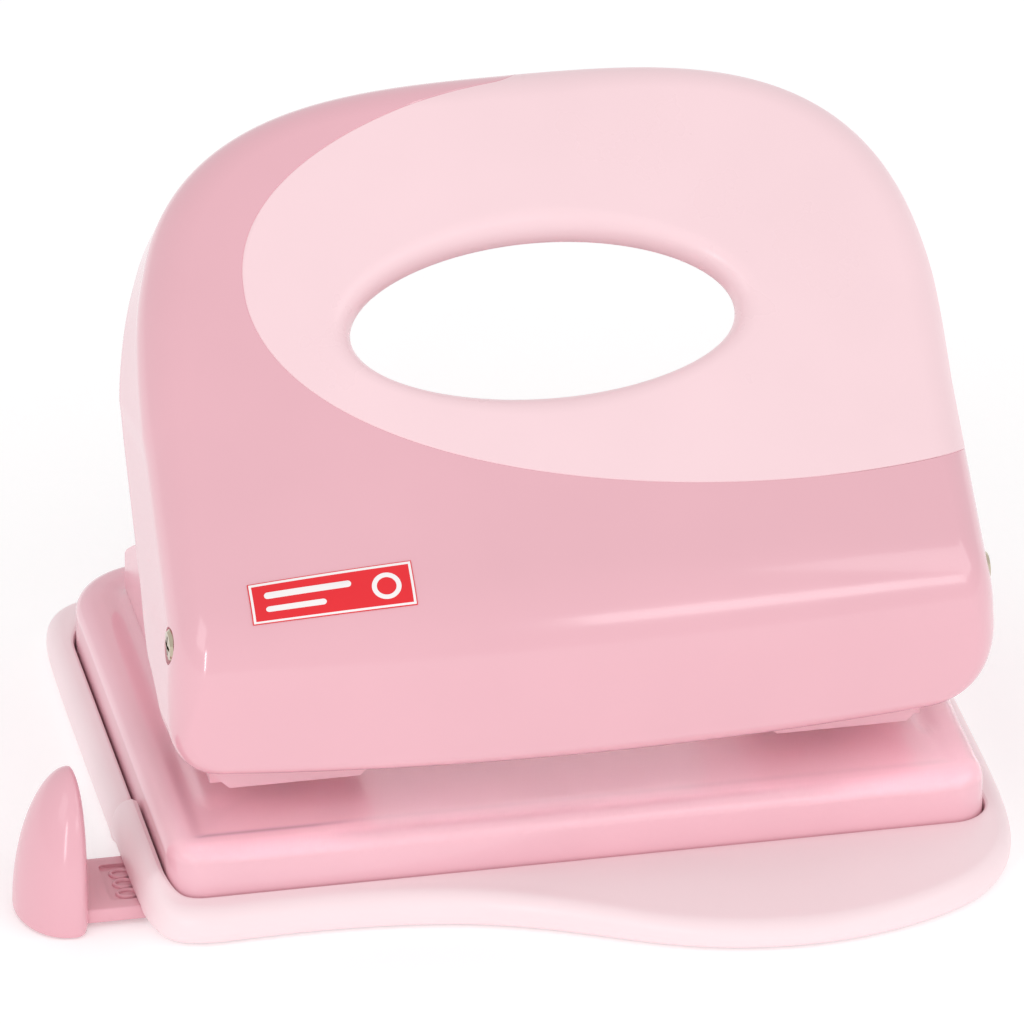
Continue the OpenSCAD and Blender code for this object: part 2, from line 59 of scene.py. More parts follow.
# ---------------------------------------------------------------- mesh helpers
def clean(mesh, dist=2e-6):
    bm = bmesh.new()
    bm.from_mesh(mesh)
    bmesh.ops.remove_doubles(bm, verts=bm.verts, dist=dist)
    bmesh.ops.dissolve_degenerate(bm, edges=bm.edges, dist=dist / 2)
    loose = [v for v in bm.verts if not v.link_faces]
    if loose:
        bmesh.ops.delete(bm, geom=loose, context="VERTS")
    bmesh.ops.recalc_face_normals(bm, faces=bm.faces)
    bm.to_mesh(mesh)
    bm.free()


def shade(mesh, angle=32):
    for p in mesh.polygons:
        p.use_smooth = True
    mesh.set_sharp_from_angle(angle=math.radians(angle))


def make(name, verts, faces, angle=32, tidy=True):
    mesh = bpy.data.meshes.new(name)
    mesh.from_pydata((np.asarray(verts, float) * 0.001).tolist(), [], [list(map(int, f)) for f in faces])
    mesh.validate()
    if tidy:
        clean(mesh)
    shade(mesh, angle)
    obj = bpy.data.objects.new(name, mesh)
    scene.collection.objects.link(obj)
    return obj


def apply_modifiers(obj, angle=32, tidy=True):
    dg = bpy.context.evaluated_depsgraph_get()
    mesh = bpy.data.meshes.new_from_object(obj.evaluated_get(dg))
    mesh.name = obj.name
    obj.modifiers.clear()
    obj.data = mesh
    if tidy:
        clean(mesh)
    shade(mesh, angle)
    return obj


def boolean(obj, cutter, how="DIFFERENCE"):
    m = obj.modifiers.new("cut", "BOOLEAN")
    m.operation = how
    m.solver = "EXACT"
    m.object = cutter
    bpy.context.view_layer.update()
    apply_modifiers(obj)
    bpy.data.objects.remove(cutter)
    return obj


def rod(p0, p1, r, n=48, bevel=0.0):
    """A turned rod between two points, with optional rounded ends: vertices, faces."""
    p0, p1 = np.array(p0, float), np.array(p1, float)
    d = p1 - p0
    length = np.linalg.norm(d)
    d = d / length
    a = np.cross(d, [0.3, 0.5, 0.81])
    a /= np.linalg.norm(a)
    b = np.cross(d, a)
    prof = [(0.0, r - bevel)]
    if bevel:
        prof += [(bevel * (1 - math.cos(t)), r - bevel * (1 - math.sin(t))) for t in (pi / 6, pi / 3, pi / 2)]
        prof += [(length - bevel * (1 - math.cos(t)), r - bevel * (1 - math.sin(t))) for t in (pi / 2, pi / 3, pi / 6)]
    prof.append((length, r - bevel))
    rings = []
    for h, q in prof:
        rings.append([p0 + d * h + q * (a * math.cos(2 * pi * i / n) + b * math.sin(2 * pi * i / n)) for i in range(n)])
    return closed_rings(rings)


def closed_rings(rings):
    """Closed solid over stacked rings of equal length, capped by flat faces."""
    n, m = len(rings[0]), len(rings)
    verts = [p for r in rings for p in r]
    faces = [list(range(n))[::-1], [(m - 1) * n + i for i in range(n)]]
    for j in range(m - 1):
        for i in range(n):
            k = (i + 1) % n
            faces.append([j * n + i, j * n + k, (j + 1) * n + k, (j + 1) * n + i])
    return verts, faces


def slab(pts, z0, z1, e=0.0, steps=3):
    """Extruded outline between two heights with rounded upper and lower edges of radius e."""
    pts = np.asarray(pts, float)
    c = pts.mean(0)
    prof = [(z0, e)] if e else [(z0, 0.0)]
    if e:
        prof += [(z0 + e * (1 - math.cos(t)), e * (1 - math.sin(t))) for t in np.linspace(0, pi / 2, steps + 1)[1:]]
        prof += [(z1 - e * (1 - math.cos(t)), e * (1 - math.sin(t))) for t in np.linspace(pi / 2, 0, steps + 1)[:-1]]
    prof += [(z1, e)] if e else [(z1, 0.0)]
    rings = []
    nxt, prv = np.roll(pts, -1, 0), np.roll(pts, 1, 0)
    tang = nxt - prv
    tang /= np.maximum(np.linalg.norm(tang, axis=1, keepdims=True), 1e-9)
    out = np.stack([tang[:, 1], -tang[:, 0]], 1)
    if np.sum((pts - c) * out) < 0:
        out = -out
    for z, inset in prof:
        q = pts - out * inset
        rings.append([[x, y, z] for x, y in q])
    return closed_rings(rings)


def round_rect(x0, y0, x1, y1, rf, rb, nc=10, nx=1, ny=1):
    """Points round a rectangle with rounded corners: rf at y0, rb at y1. Always the same count."""
    pts = []
    for cx, cy, r, a0 in ((x1 - rf, y0 + rf, rf, -90), (x1 - rb, y1 - rb, rb, 0), (x0 + rb, y1 - rb, rb, 90), (x0 + rf, y0 + rf, rf, 180)):
        for i in range(nc + 1):
            a = math.radians(a0 + 90 * i / nc)
            pts.append([cx + r * math.cos(a), cy + r * math.sin(a)])
    out = []
    m = nc + 1
    for k in range(4):
        out += pts[k * m:(k + 1) * m]
        p, q = np.array(pts[(k + 1) * m - 1]), np.array(pts[((k + 1) * m) % (4 * m)])
        n = ny if k % 2 == 0 else nx
        out += [list(p + (q - p) * i / n) for i in range(1, n)]
    return np.array(out)


def smooth(x):
    u = np.clip(x, 0, 1)
    return u * u * (3 - 2 * u)


# ---------------------------------------------------------------- materials
def node_material(name, build):
    mat = bpy.data.materials.new(name)
    mat.use_nodes = True
    nt = mat.node_tree
    nt.nodes.clear()
    out = nt.nodes.new("ShaderNodeOutputMaterial")
    bsdf = nt.nodes.new("ShaderNodeBsdfPrincipled")
    nt.links.new(bsdf.outputs[0], out.inputs[0])
    build(nt, bsdf)
    return mat


def noise(nt, scale, detail=3.0, rough=0.5):
    tc = nt.nodes.new("ShaderNodeTexCoord")
    n = nt.nodes.new("ShaderNodeTexNoise")
    n.inputs["Scale"].default_value = scale
    n.inputs["Detail"].default_value = detail
    n.inputs["Roughness"].default_value = rough
    nt.links.new(tc.outputs["Object"], n.inputs["Vector"])
    return n


def ramp(nt, source, stops):
    r = nt.nodes.new("ShaderNodeValToRGB")
    while len(r.color_ramp.elements) < len(stops):
        r.color_ramp.elements.new(0.5)
    for e, (pos, col) in zip(r.color_ramp.elements, stops):
        e.position = pos
        e.color = (*col, 1.0) if len(col) == 3 else (col[0],) * 3 + (1.0,)
    nt.links.new(source, r.inputs[0])
    return r


def span(nt, source, lo, hi, a=0.3, b=0.7):
    m = nt.nodes.new("ShaderNodeMapRange")
    m.inputs["From Min"].default_value = a
    m.inputs["From Max"].default_value = b
    m.inputs["To Min"].default_value = lo
    m.inputs["To Max"].default_value = hi
    nt.links.new(source, m.inputs["Value"])
    return m


def tint(c, f):
    return tuple(min(1.0, v * f) for v in c)


def plastic(name, col, rough=0.2, grain=0.02, grain_scale=900, spec=0.5, coat=0.0, mottle=0.02, edge_highlight=0.03, sss=0.0):
    """Moulded plastic: faint cloudiness, fine surface grain, gloss that varies, and a painted highlight that lightens
    convex edges.
    """

    def build(nt, b):
        cloud = noise(nt, 28, 3.0, 0.55)
        r = ramp(nt, cloud.outputs["Fac"], [(0.3, tint(col, 1 - mottle)), (0.7, tint(col, 1 + mottle))])
        # painted highlight: convex edges, picked out by pointiness, are mixed towards a lighter, paler tone
        if edge_highlight:
            geo = nt.nodes.new("ShaderNodeNewGeometry")
            edge = span(nt, geo.outputs["Pointiness"], 0.0, edge_highlight, 0.52, 0.62)
            mix = nt.nodes.new("ShaderNodeMix")
            mix.data_type = "RGBA"
            mix.inputs["B"].default_value = (min(1, col[0] * 1.05 + 0.02), min(1, col[1] * 1.12 + 0.03), min(1, col[2] * 1.1 + 0.03), 1)
            nt.links.new(edge.outputs[0], mix.inputs["Factor"])
            nt.links.new(r.outputs[0], mix.inputs["A"])
            nt.links.new(mix.outputs["Result"], b.inputs["Base Color"])
        else:
            nt.links.new(r.outputs[0], b.inputs["Base Color"])
        smear = noise(nt, 60, 4.0, 0.6)
        rr = span(nt, smear.outputs["Fac"], rough * 0.85, rough * 1.2)
        nt.links.new(rr.outputs[0], b.inputs["Roughness"])
        fine = noise(nt, grain_scale, 2.0, 0.5)
        bump = nt.nodes.new("ShaderNodeBump")
        bump.inputs["Strength"].default_value = grain
        bump.inputs["Distance"].default_value = 0.0002
        nt.links.new(fine.outputs["Fac"], bump.inputs["Height"])
        nt.links.new(bump.outputs[0], b.inputs["Normal"])
        b.inputs["Specular IOR Level"].default_value = spec
        b.inputs["Coat Weight"].default_value = coat
        b.inputs["Coat Roughness"].default_value = 0.08
        if sss:
            b.inputs["Subsurface Weight"].default_value = sss
            b.inputs["Subsurface Scale"].default_value = 0.002

    return node_material(name, build)


def metal(name, col, rough=0.25, turned=0.0, scale=1500, stretch=(1, 1, 1)):
    """Machined or drawn metal: brushed grain along one direction, darker spots, soft polish."""

    def build(nt, b):
        tc = nt.nodes.new("ShaderNodeTexCoord")
        mp = nt.nodes.new("ShaderNodeMapping")
        mp.inputs["Scale"].default_value = stretch
        nt.links.new(tc.outputs["Object"], mp.inputs["Vector"])
        n = nt.nodes.new("ShaderNodeTexNoise")
        n.inputs["Scale"].default_value = scale
        n.inputs["Detail"].default_value = 4
        nt.links.new(mp.outputs[0], n.inputs["Vector"])
        big = noise(nt, 220, 3.0)
        r = ramp(nt, big.outputs["Fac"], [(0.3, tint(col, 0.88)), (0.7, tint(col, 1.06))])
        nt.links.new(r.outputs[0], b.inputs["Base Color"])
        rr = span(nt, n.outputs["Fac"], rough * 0.75, rough * 1.35)
        nt.links.new(rr.outputs[0], b.inputs["Roughness"])
        bump = nt.nodes.new("ShaderNodeBump")
        bump.inputs["Strength"].default_value = 0.06
        bump.inputs["Distance"].default_value = 0.0001
        nt.links.new(n.outputs["Fac"], bump.inputs["Height"])
        nt.links.new(bump.outputs[0], b.inputs["Normal"])
        b.inputs["Metallic"].default_value = 1.0

    return node_material(name, build)


PINK = (0.80, 0.425, 0.49)
PALE = (0.93, 0.65, 0.69)
BASE = (0.86, 0.49, 0.56)
mat = {
    "lever_plastic": plastic("lever_plastic", PINK, 0.17, 0.006, 1400, spec=0.8, coat=0.5, edge_highlight=0.0),
    "grip_plastic": plastic("grip_plastic", (0.93, 0.67, 0.71), 0.30, 0.006, 1800, edge_highlight=0.0),
    "base_paint": plastic("base_paint", BASE, 0.12, 0.02, 700, coat=0.5, mottle=0.03, edge_highlight=0.05),
    "frame_paint": plastic("frame_paint", BASE, 0.2, 0.04, 700, mottle=0.03, edge_highlight=0.12),
    "tray_plastic": plastic("tray_plastic", (0.94, 0.75, 0.78), 0.36, 0.015, 1600, mottle=0.015),
    "guide_plastic": plastic("guide_plastic", PINK, 0.15, 0.015, 1400),
    "spacer_plastic": plastic("spacer_plastic", (0.72, 0.70, 0.66), 0.4, 0.05, 1500),
    "pin_steel": metal("pin_steel", (0.56, 0.56, 0.57), 0.16, stretch=(1, 1, 0.05)),
    "gear_steel": metal("gear_steel", (0.50, 0.50, 0.51), 0.32, stretch=(0.15, 1, 1)),
    "screw_nickel": metal("screw_nickel", (0.60, 0.52, 0.40), 0.16, scale=2600),
    "spring_steel": metal("spring_steel", (0.42, 0.42, 0.43), 0.24, scale=2400),
    "sticker": plastic("sticker", (0.78, 0.012, 0.022), 0.32, 0.02, 2600, mottle=0.05, edge_highlight=0.0),
    "sticker_white": plastic("sticker_white", (0.90, 0.86, 0.86), 0.34, 0.02, 2600, mottle=0.02, edge_highlight=0.0),
}


def dress(obj, *slots):
    index = [p.material_index for p in obj.data.polygons]
    obj.data.materials.clear()
    for s in slots:
        obj.data.materials.append(mat[s])
    if len(slots) > 1:
        obj.data.polygons.foreach_set("material_index", index)


# ---------------------------------------------------------------- lever surface
lv_x, lv_y, lv_z0, lv_zv, lv_r, lv_bow = 2.0, -26.0, 23.1, 37.0, 18.0, 5.7
slope, ba = math.radians(37), math.radians(53)
s1 = lv_zv - lv_z0
s2 = s1 + lv_r * ba
lever_len, lever_half, lv_ts = 110.5, 60.6, 58.0
lv_up = lever_half - 2
hole_x, hole_t, hole_a, hole_b = 2.5, 70.4, 28.1, 12.6
lip_l, lip_r, wall, inlay = 0.6, 4.0, 1.8, 1.0
lip_c = lip_r * pi / 2
piv = (-12.5, 40.7)


def prof(t):
    a = np.clip((t - s1) / lv_r, 0, ba)
    d = np.maximum(t - s2, 0)
    y = lv_y + lv_r - lv_r * np.cos(a) + d * math.cos(slope)
    z = np.where(t < s1, lv_z0 + t, lv_zv + lv_r * np.sin(a)) + d * math.sin(slope)
    return y, z, -np.cos(a), np.sin(a)


def lev(x, t, n):
    y, z, ny, nz = prof(t)
    b = lv_bow * ((x - lv_x) / 59.5) ** 2
    return np.stack([x + 0 * y, y + (n - b) * ny, z + (n - b) * nz], -1)


def half_w(t, rc):
    up = lv_up * np.maximum(1 - (np.maximum(t - lv_ts, 0) / (lever_len - lv_ts)) ** 3.4, 0) ** (1 / 3.4)
    low = lever_half - 2 * t / lv_ts
    c = np.where(t < rc, rc - np.sqrt(np.maximum(rc ** 2 - (rc - t) ** 2, 0)), 0)
    return np.where((t <= 0) | (t >= lever_len), 0, np.where(t > lv_ts, up, low) - c)


def lv_side(x, t):
    return 1.5 * np.where(x < lv_x, np.clip((t - 62) / 25, 0, 1), np.clip((t - 30) / 45, 0, 1))


def in_face(x, t):
    return (t > 0) & (t < lever_len) & (np.abs(x - lv_x - lv_side(x, t)) < half_w(t, np.where(x < lv_x, 6.5, 11.0)))


def out_r(a):
    lo, hi = np.full_like(a, 5.0), np.full_like(a, 120.0)
    for _ in range(40):
        m = (lo + hi) / 2
        i = in_face(hole_x + m * np.cos(a), hole_t + m * np.sin(a))
        lo, hi = np.where(i, m, lo), np.where(i, hi, m)
    return lo


def sections(a):
    h = 1 / np.sqrt((np.cos(a) / hole_a) ** 2 + (np.sin(a) / hole_b) ** 2)
    o = out_r(a)
    t = hole_t + o * np.sin(a)
    e = 2.4 + 4.0 * smooth((t - 0.5) / 12)
    dd, dip = 0 * t, 0 * t
    for w in np.linspace(-1, 1, 15):
        tw = t + w * 9 * np.clip((t - 14) / 12, 0, 1)
        dd += np.interp(tw, [0, 1, 6, 14, 24, 40, 60, 75, 90, 112], [3, 4, 12, 24, 29, 28, 26, 17.5, 14, 13]) / 15
        dip += np.radians(np.interp(tw, [0, 6, 14, 24, 40, 60, 75, 90, 112], [0, 4, 14, 15, 15, 18, 32, 45, 53])) / 15
    return {"a": a, "h": h, "o": o, "e": e, "d": dd, "dip": dip, "f": o - e - h - lip_r}


def col(q):
    return {k: v[:, None] for k, v in q.items()}


def spoint(q, u, d):
    """Point on the section: run u from the lip's end, depth d under the skin. Arrays broadcast."""
    a = q["a"]
    at = lambda r, n: lev(hole_x + r * np.cos(a), hole_t + r * np.sin(a), n)
    u1 = u - lip_l
    u2 = u1 - lip_c
    u3 = u2 - q["f"]
    u4 = u3 - q["e"] * pi / 2
    b1 = u1 / lip_r
    b3 = u3 / q["e"]
    r = np.where(u1 < 0, q["h"] + d, np.where(u2 < 0, q["h"] + lip_r - (lip_r - d) * np.cos(b1),
        np.where(u3 < 0, q["h"] + lip_r + u2, np.where(u4 < 0, q["o"] - q["e"] + (q["e"] - d) * np.sin(b3), q["o"] - d))))
    n = np.where(u1 < 0, -lip_r + u1, np.where(u2 < 0, -lip_r + (lip_r - d) * np.sin(b1),
        np.where(u3 < 0, -d, np.where(u4 < 0, -q["e"] + (q["e"] - d) * np.cos(b3), -q["e"]))))
    p = at(r, n)
    end = at(q["o"] - d + 0 * r, 0 * r)
    end[..., 1] += q["d"] * np.cos(q["dip"])
    end[..., 2] -= q["d"] * np.sin(q["dip"])
    f = np.clip(u4 / (q["d"] - q["e"]), 0, 1)[..., None]
    return p * (1 - f) + end * f


Y0, Z0 = [float(v) for v in prof(np.array(hole_t))[:2]]


def field(p):
    """Below 1 inside the light field of the face."""
    dy, dz = p[..., 1] - Y0, p[..., 2] - Z0
    t = dy * math.cos(slope) + dz * math.sin(slope)
    deep = dz * math.cos(slope) - dy * math.sin(slope) + lv_bow * ((p[..., 0] - lv_x) / 59.5) ** 2
    tl = t + 0.475 * np.minimum(deep, 0)
    x = p[..., 0] - 30
    up = np.maximum(t - 8, 0) / (31.3 + 6 * smooth((x + 29) / 12))
    low = np.where(tl < 8, (x / 70) ** 2 + ((tl - 8) / 37.5) ** 2, 9.0)
    return np.minimum(low, np.where(t >= 8, np.abs(x / 70) ** 2.3 + up ** 2.3, 9.0))


def lever_pieces():
    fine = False
    n_col = 220 if fine else 420
    # directions: shared between equal angle and equal outline length
    a = np.linspace(-pi, pi, 4001)
    q = sections(a)
    edge = spoint(q, lip_l + lip_c + q["f"] + q["e"] * pi / 2, 0 * a)
    ds = np.linalg.norm(np.diff(edge, axis=0), axis=1)
    w = np.concatenate([[0], np.cumsum(ds / ds.sum() + 0.8 / len(ds))])
    w /= w[-1]
    cols = np.interp(np.arange(n_col) / n_col, w, a)
    # directions in which the light field meets the outline
    g = field(edge) - 1
    near = []
    for k in np.where(np.diff(np.sign(g)) != 0)[0]:
        x = a[k] + (a[k + 1] - a[k]) * g[k] / (g[k] - g[k + 1])
        cols[np.argmin(np.abs(cols - x))] = x
        near.append(x)
    for x in near:
        cols = np.concatenate([cols, x + np.radians(np.array([-3.0, -2.2, -1.5, -0.9, -0.4, 0.4, 0.9, 1.5, 2.2, 3.0]))])
    cols = np.sort(cols)
    keep_cols = [cols[0]]
    for c in cols[1:]:
        if c - keep_cols[-1] > math.radians(0.25):
            keep_cols.append(c)
        elif np.min(np.abs(np.array(near) - c)) < 1e-9:
            keep_cols[-1] = c
    cols = np.array(keep_cols)
    q = sections(cols)
    u2 = lip_l + lip_c
    uD = u2 + q["f"] + q["e"] * pi / 2
    L = uD + q["d"] - q["e"]
    # run at which each direction leaves the light field
    lo, hi = np.full_like(cols, u2), uD.copy()
    for _ in range(40):
        m = (lo + hi) / 2
        i = field(spoint(q, m, 0 * m)) < 1
        lo, hi = np.where(i, m, lo), np.where(i, hi, m)
    full = field(spoint(q, uD, 0 * uD)) < 1.0005
    uE = np.where(full, uD, lo)
    gap = np.minimum(0.14, (uD - uE) / 2)
    K1, K2 = (26, 24) if fine else (46, 44)
    rows, kind = [], []
    # lip
    for s in np.concatenate([[0, 0.12, 0.5], 0.5 + (u2 - 0.5) * np.arange(1, 15) / 14]):
        rows.append(np.full_like(cols, s))
    # weights: the rounded edge gets its own share of rows
    def spread(u0, u1, k):
        out = []
        grid = np.linspace(0, 1, 400)
        for c in range(len(cols)):
            u = u0[c] + (u1[c] - u0[c]) * grid
            e0 = u2 + q["f"][c]
            dens = 1 / 2.2 + smooth((u - e0 + 2) / 3) * 14 / (q["e"][c] * pi / 2)
            cw = np.concatenate([[0], np.cumsum((dens[1:] + dens[:-1]) / 2)])
            out.append(np.interp(np.arange(1, k + 1) / k, cw / cw[-1], u))
        return np.array(out).T
    for r in spread(np.full_like(cols, u2), uE - gap, K1):
        rows.append(r)
    jE = len(rows)
    rows.append(uE)
    for r in spread(uE + gap, uD, K2):
        rows.append(r)
    rows.insert(jE + 1, uE + gap)
    jD = len(rows) - 1
    ks = 12
    for k in range(1, ks + 1):
        rows.append(uD + (L - 1.6 - 0.14 - uD) * k / ks)
    jR = len(rows)
    rows.append(L - 1.6)
    for s in (1.46, 1.0, 0.6, 0.34, 0.16, 0.04, 0.0):
        rows.append(L - s)
    U = np.array(rows).T
    N, M = U.shape
    Q = col(q)
    # depths of the visible skin
    dl = np.zeros_like(U)
    dp = np.zeros_like(U)
    dl[:, 0], dl[:, 1] = 0.45, 0.12
    dl[:, jE] = np.where(full, 0, 0.12)
    dp[:, jE] = np.where(full, 0, 0.12)
    dl[:, jR] = 0.12
    dp[:, jR] = np.where(full, 0.12, 0)
    for j, s in ((M - 4, 0.05), (M - 3, 0.16), (M - 2, 0.34), (M - 1, 0.6)):
        dp[:, j] = s
    db = np.full_like(U, wall)
    for j, s in ((M - 4, 0.05), (M - 3, 0.12), (M - 2, 0.25), (M - 1, 0.45)):
        db[:, j] = wall - s
    nxt = (np.arange(N) + 1) % N
    quad_light = np.zeros((N, M - 1), bool)
    for i in range(N):
        both = full[i] and full[nxt[i]]
        for j in range(M - 1):
            quad_light[i, j] = j < jE or (both and j < jR)
    light_top = spoint(Q, U, dl)
    light_low = spoint(Q, U, np.full_like(U, inlay))
    pink_top = spoint(Q, U, dp)
    recess = light_low
    inner = spoint(Q, U, db)
    vid = lambda i, j: (i % N) * M + j
    NM = N * M

    def layer(mask, top, low, lift_top=0, lift_low=0):
        """Closed solid over the quads in mask: upper skin, lower skin and walls at its borders."""
        faces = []
        for i in range(N):
            for j in range(M - 1):
                if not mask[i, j]:
                    continue
                p, r, s, t = vid(i, j), vid(i + 1, j), vid(i + 1, j + 1), vid(i, j + 1)
                faces.append([p, r, s, t])
                faces.append([NM + p, NM + t, NM + s, NM + r])
                if j == 0 or not mask[i, j - 1]:
                    faces.append([p, NM + p, NM + r, r])
                if j == M - 2 or not mask[i, j + 1]:
                    faces.append([t, s, NM + s, NM + t])
                if not mask[i - 1, j]:
                    faces.append([p, t, NM + t, NM + p])
                if not mask[(i + 1) % N, j]:
                    faces.append([r, NM + r, NM + s, s])
        return np.concatenate([top.reshape(-1, 3), low.reshape(-1, 3)]), faces

    v, f = layer(quad_light, light_top, light_low)
    grip = make("grip_inlay_skin", v, f, 38)
    # shell: pink skin where it shows, recess under the inlay, inner skin everywhere
    v = np.concatenate([pink_top.reshape(-1, 3), recess.reshape(-1, 3), inner.reshape(-1, 3)])
    f = []
    for i in range(N):
        for j in range(M - 1):
            p, r, s, t = vid(i, j), vid(i + 1, j), vid(i + 1, j + 1), vid(i, j + 1)
            o = NM if quad_light[i, j] else 0
            f.append([o + p, o + r, o + s, o + t])
            f.append([2 * NM + p, 2 * NM + t, 2 * NM + s, 2 * NM + r])
            if j == 0:
                f.append([o + p, 2 * NM + p, 2 * NM + r, o + r])
            if j == M - 2:
                f.append([o + t, o + s, 2 * NM + s, 2 * NM + t])
            if j > 0 and quad_light[i, j - 1] != quad_light[i, j]:
                a0, b0 = (NM, 0) if quad_light[i, j] else (0, NM)
                f.append([a0 + p, b0 + p, b0 + r, a0 + r])
            if quad_light[i - 1, j] != quad_light[i, j]:
                a0, b0 = (NM, 0) if quad_light[i, j] else (0, NM)
                f.append([a0 + p, a0 + t, b0 + t, b0 + p])
    shell = make("lever_shell_skin", v, f, 38)
    return shell, grip


shell, grip = lever_pieces()
for s in (-1, 1):
    x0 = lv_x + s * 56
    v, f = rod((x0 - s * 4, *piv), (x0 + s * 8, *piv), 1.6, 48)
    boolean(shell, make("cut", v, f))
    v, f = rod((x0 + s * 3.2, *piv), (x0 + s * 11, *piv), 2.7, 64)
    boolean(shell, make("cut", v, f))
shade(shell.data, 38)
dress(shell, "lever_plastic")
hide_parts("lever_shell")
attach(shell, "lever")
dress(grip, "grip_plastic")
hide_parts("grip_inlay")
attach(grip, "lever")


# ---------------------------------------------------------------- sticker
def sticker():
    x0, x1, t0, t1 = -46.6, -23.2, 26.5, 33.5
    key = 0.5
    xs = np.concatenate([[x0, x0 + 0.14, x0 + key], np.linspace(x0 + key, x1 - key, 48)[1:-1], [x1 - key, x1 - 0.14, x1]])
    ts = np.concatenate([[t0, t0 + 0.14, t0 + key], np.linspace(t0 + key, t1 - key, 16)[1:-1], [t1 - key, t1 - 0.14, t1]])
    n, m = len(xs), len(ts)
    X, T = np.meshgrid(xs, ts, indexing="ij")
    T = T + 0.15 * (X - x0) / (x1 - x0)
    edge = (X == x0) | (X == x1) | (np.abs(T - T.min(1, keepdims=True)) < 1e-9) | (np.abs(T - T.max(1, keepdims=True)) < 1e-9)
    top = lev(X, T, np.where(edge, 0.13, 0.2))
    low = lev(X, T, np.full_like(X, 0.02))
    c = n * m
    f, mi = [], []
    for i in range(n - 1):
        for j in range(m - 1):
            p, r, s, t = i * m + j, (i + 1) * m + j, (i + 1) * m + j + 1, i * m + j + 1
            f.append([p, r, s, t])
            white = (i in (1, n - 3) or j in (1, m - 3)) and 0 < i < n - 2 and 0 < j < m - 2
            mi.append(1 if white else 0)
            f.append([c + p, c + t, c + s, c + r])
            mi.append(0)
    rim = [i * m for i in range(n - 1)] + [(n - 1) * m + j for j in range(m - 1)] + [i * m + m - 1 for i in range(n - 1, 0, -1)] + [j for j in range(m - 1, 0, -1)]
    for k in range(len(rim)):
        p, r = rim[k], rim[(k + 1) % len(rim)]
        f.append([p, c + p, c + r, r])
        mi.append(0)
    mesh = bpy.data.meshes.new("label_sticker_film")
    v = np.concatenate([top.reshape(-1, 3), low.reshape(-1, 3)]) * 0.001
    mesh.from_pydata(v.tolist(), [], f)
    mesh.polygons.foreach_set("material_index", mi)
    bm = bmesh.new()
    bm.from_mesh(mesh)
    bmesh.ops.recalc_face_normals(bm, faces=bm.faces)
    bm.to_mesh(mesh)
    bm.free()
    shade(mesh, 30)
    obj = bpy.data.objects.new("label_sticker_film", mesh)
    scene.collection.objects.link(obj)
    dress(obj, "sticker", "sticker_white")
    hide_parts("label_sticker")
    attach(obj, "lever")

    # plain printed marks: two bars and a ring
    def mark(name, outline):
        o = np.array(outline)
        mid = o.mean(0)
        rings = []
        for n_h, k in ((0.19, 1.0), (0.235, 1.0), (0.25, 0.985)):
            p = mid + (o - mid) * k
            rings.append(lev(p[:, 0], p[:, 1], np.full(len(p), n_h)))
        return closed_rings([list(r) for r in rings])

    def pill(xa, xb, t, r):
        a1 = [[xb + r * math.cos(b), t + r * math.sin(b)] for b in np.linspace(-pi / 2, pi / 2, 13)]
        a2 = [[xa + r * math.cos(b), t + r * math.sin(b)] for b in np.linspace(pi / 2, 3 * pi / 2, 13)]
        return a1 + [[xb + (xa - xb) * k / 12, t + r] for k in range(1, 12)] + a2 + [[xa + (xb - xa) * k / 12, t - r] for k in range(1, 12)]

    V, F = [], []
    for outline in (pill(-44.0, -32.6, 31.35, 0.5), pill(-44.0, -36.4, 29.0, 0.5)):
        v, f = mark("m", outline)
        F += [[k + len(V) for k in g] for g in f]
        V += [list(p) for p in v]
    # ring on the right
    na = 64
    an = np.linspace(0, 2 * pi, na, endpoint=False)
    prof_r = [(2.1, 0.19), (2.1, 0.24), (2.05, 0.25), (1.45, 0.25), (1.4, 0.24), (1.4, 0.19)]
    base = len(V)
    for r, h in prof_r:
        V += [list(p) for p in lev(-27.2 + r * np.cos(an), 30.15 + r * np.sin(an), np.full(na, h))]
    for j in range(len(prof_r)):
        j2 = (j + 1) % len(prof_r)
        for i in range(na):
            k = (i + 1) % na
            F.append([base + j * na + i, base + j * na + k, base + j2 * na + k, base + j2 * na + i])
    marks = make("label_marks", V, F, 30)
    marks.data.materials.append(mat["sticker_white"])
    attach(marks, "lever")


sticker()


# ---------------------------------------------------------------- base plate
deck_z, base_t = 13.6, 1.2
bw, bf, bb = 119.5 / 2, 24.5, 64.0


